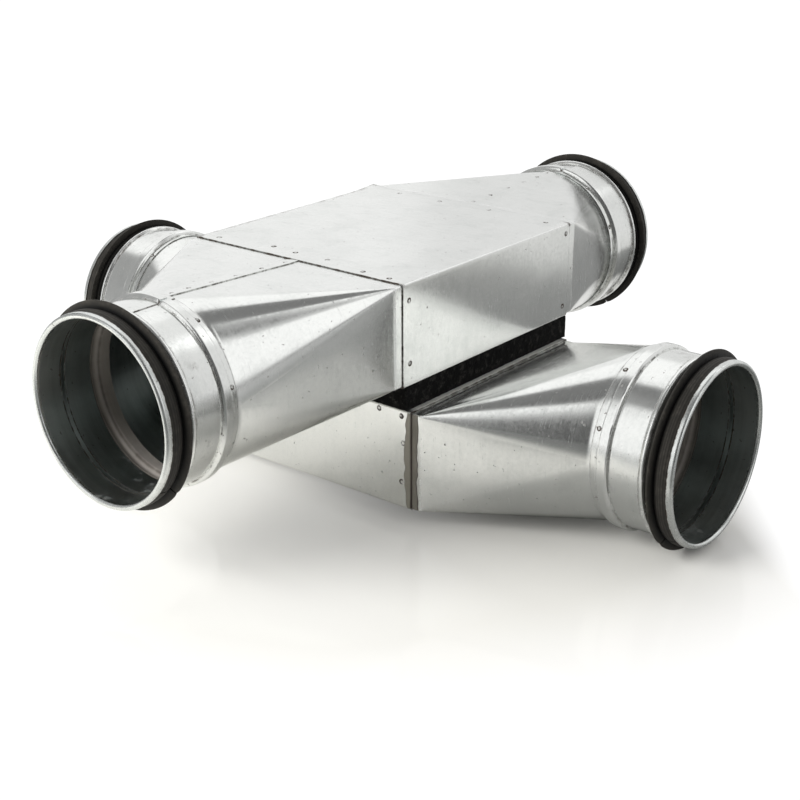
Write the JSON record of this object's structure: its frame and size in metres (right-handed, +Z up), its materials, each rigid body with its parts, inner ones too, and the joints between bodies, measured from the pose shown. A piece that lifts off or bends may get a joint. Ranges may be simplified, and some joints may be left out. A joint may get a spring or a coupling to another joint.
{
  "type": "duct crossover fitting",
  "caption": "Galvanised steel ventilation crossover: two round ducts flatten to pass over each other at a right angle, with a foam pad between and lip gaskets on the collars.",
  "frame": {"origin": "on the floor under the point where the two duct axes cross, level with the lowest edge of the lower gaskets", "axes": "+X along the lower duct, +Y along the upper duct, +Z up"},
  "size_m": [0.545, 0.545, 0.1795],
  "materials": {
    "galvanised_steel": "galvanised, dull bright, lightly streaked",
    "gasket_rubber": "matt black rubber",
    "sealant": "dull brown-grey sealant",
    "foam": "rough black cellular foam"
  },
  "bodies": {
    "root": {"upper_casing": "galvanised_steel", "lower_casing": "galvanised_steel", "upper_front_transition": "galvanised_steel", "upper_rear_transition": "galvanised_steel", "lower_left_transition": "galvanised_steel", "lower_right_transition": "galvanised_steel", "upper_front_collar": "galvanised_steel", "upper_rear_collar": "galvanised_steel", "lower_left_collar": "galvanised_steel", "lower_right_collar": "galvanised_steel", "upper_front_gasket": "gasket_rubber", "upper_rear_gasket": "gasket_rubber", "lower_left_gasket": "gasket_rubber", "lower_right_gasket": "gasket_rubber", "upper_front_sealant": "sealant", "upper_rear_sealant": "sealant", "lower_left_sealant": "sealant", "lower_right_sealant": "sealant", "joint_sealant": "sealant", "foam_pad": "foam"}
  },
  "joints": []
}
